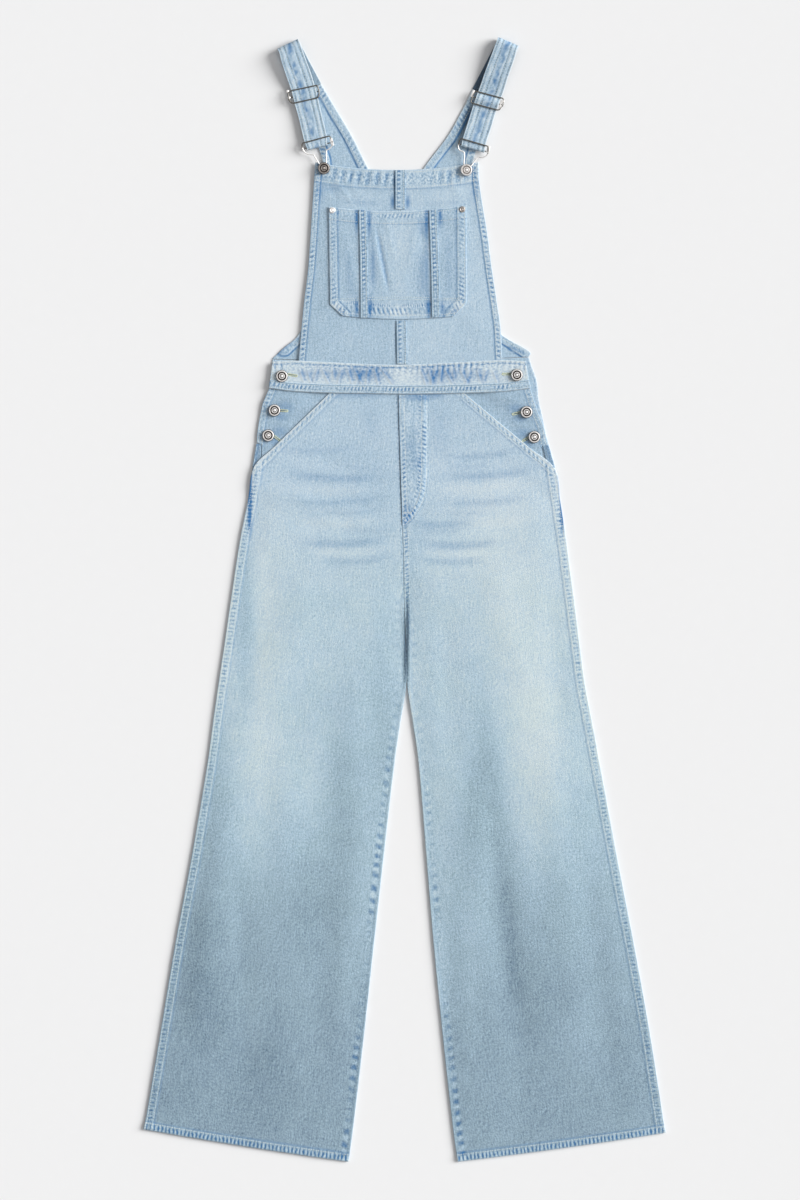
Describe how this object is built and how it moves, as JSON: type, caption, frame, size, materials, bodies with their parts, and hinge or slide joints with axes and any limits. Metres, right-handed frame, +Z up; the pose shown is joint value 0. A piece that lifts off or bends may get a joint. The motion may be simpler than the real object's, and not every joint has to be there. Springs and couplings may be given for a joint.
{
  "type": "denim bib overalls laid flat",
  "caption": "Wide-leg denim bib overalls lying flat on their back, with adjustable shoulder straps, wire hook buckles, a bib pocket and buttoned sides.",
  "frame": {"origin": "centre of the garment's footprint on the surface it lies on", "axes": "+X across the garment towards its right-hand side as seen from above, +Y from the hems up to the shoulder folds, +Z up from the surface"},
  "size_m": [0.7308, 1.5733, 0.0137],
  "materials": {
    "denim": "light washed blue cotton denim, twill weave, faded at thighs and knees, matt",
    "denim_inside": "inner face of the same denim, paler, matt",
    "denim_strap": "doubled denim strap with four stitch rows, worn pale at its edges",
    "silver_metal": "tumbled nickel-plated steel, soft gloss, darker in its recesses",
    "pewter_metal": "dark antiqued steel, soft gloss"
  },
  "bodies": {
    "root": {"back_leg_left": "denim", "back_leg_right": "denim", "back_panel_left": "denim_inside", "back_panel_right": "denim_inside", "bib_button_left": "silver_metal", "bib_button_right": "silver_metal", "bib_left": "denim", "bib_pocket": "denim", "bib_right": "denim", "bib_seam_bottom": "denim", "bib_seam_top": "denim", "buckle_left": "silver_metal", "buckle_right": "silver_metal", "fly": "denim", "front_leg_left": "denim", "front_leg_right": "denim", "hip_panel_left": "denim", "hip_panel_right": "denim", "pocket_strip_left": "denim", "pocket_strip_right": "denim", "rivet_left": "silver_metal", "rivet_right": "pewter_metal", "side_button_left_bottom": "silver_metal", "side_button_left_middle": "silver_metal", "side_button_left_top": "silver_metal", "side_button_right_bottom": "silver_metal", "side_button_right_middle": "silver_metal", "side_button_right_top": "silver_metal", "side_placket_left": "denim", "side_placket_right": "denim", "slider_left": "silver_metal", "slider_right": "silver_metal", "strap_left": "denim_strap", "strap_right": "denim_strap", "waistband": "denim", "waistband_strip": "denim"}
  },
  "joints": []
}
